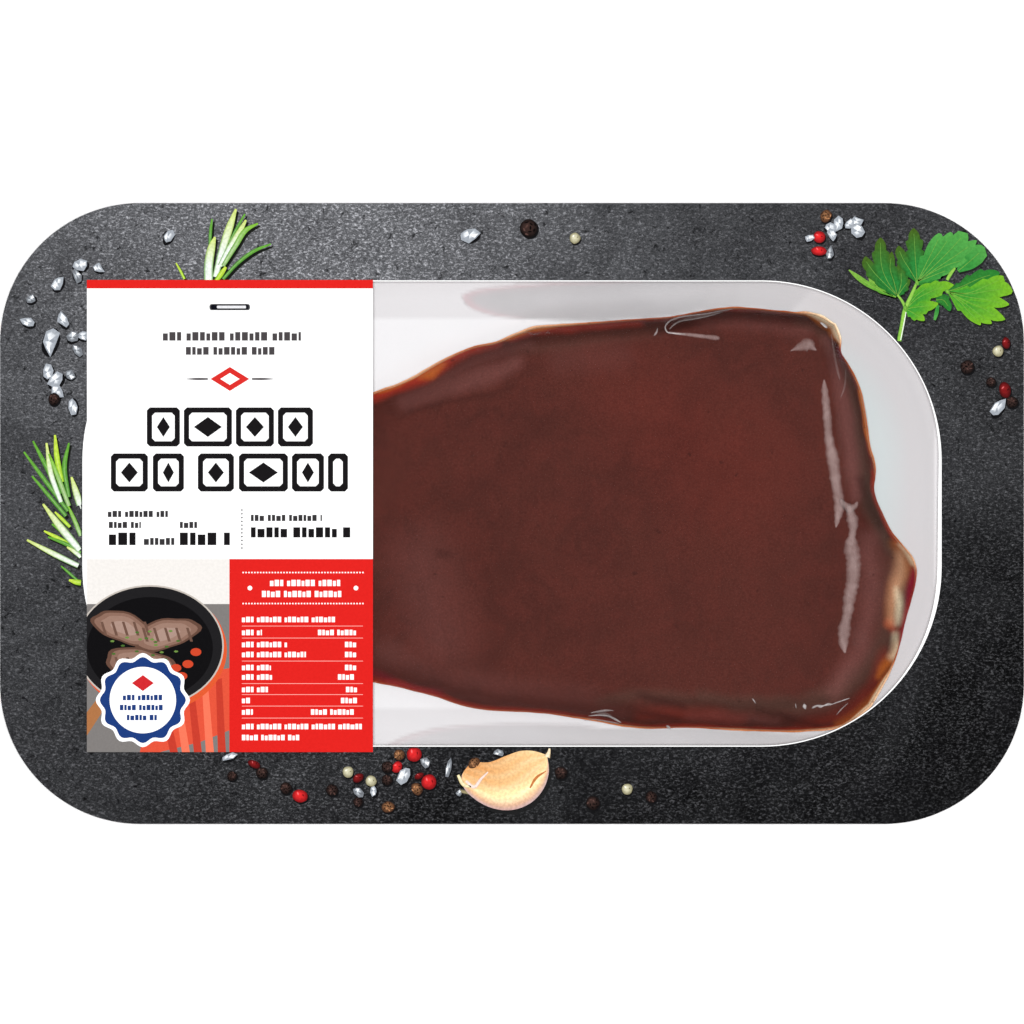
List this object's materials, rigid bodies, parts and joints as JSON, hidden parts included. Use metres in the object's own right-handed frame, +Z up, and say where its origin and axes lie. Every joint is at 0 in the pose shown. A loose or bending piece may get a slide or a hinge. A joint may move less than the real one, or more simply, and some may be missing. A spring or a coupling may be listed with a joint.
{
  "type": "packed beef heart in a tray",
  "caption": "Slab of raw beef heart skin-packed in a shallow white tray, with a dark printed card round the window and a paper label across one end.",
  "frame": {"origin": "under the middle of the tray, on the plane it rests on", "axes": "+Z up out of the tray's mouth, +X along the pack from the label towards the heart's broad end, +Y towards the edge with the staple"},
  "size_m": [0.265, 0.1606, 0.0303],
  "materials": {
    "tray_white": "white, satin gloss",
    "heart_meat": "dark red-brown raw meat, moist",
    "clear_film": "clear, glossy",
    "slate_card": "dark slate print with herbs and spices, satin",
    "label_paper": "white paper with a red stripe and red panel, satin",
    "staple_steel": "bright wire"
  },
  "bodies": {
    "root": {"tray": "tray_white", "heart": "heart_meat", "film": "clear_film", "card_surround": "slate_card", "label": "label_paper", "staple": "staple_steel"}
  },
  "joints": []
}
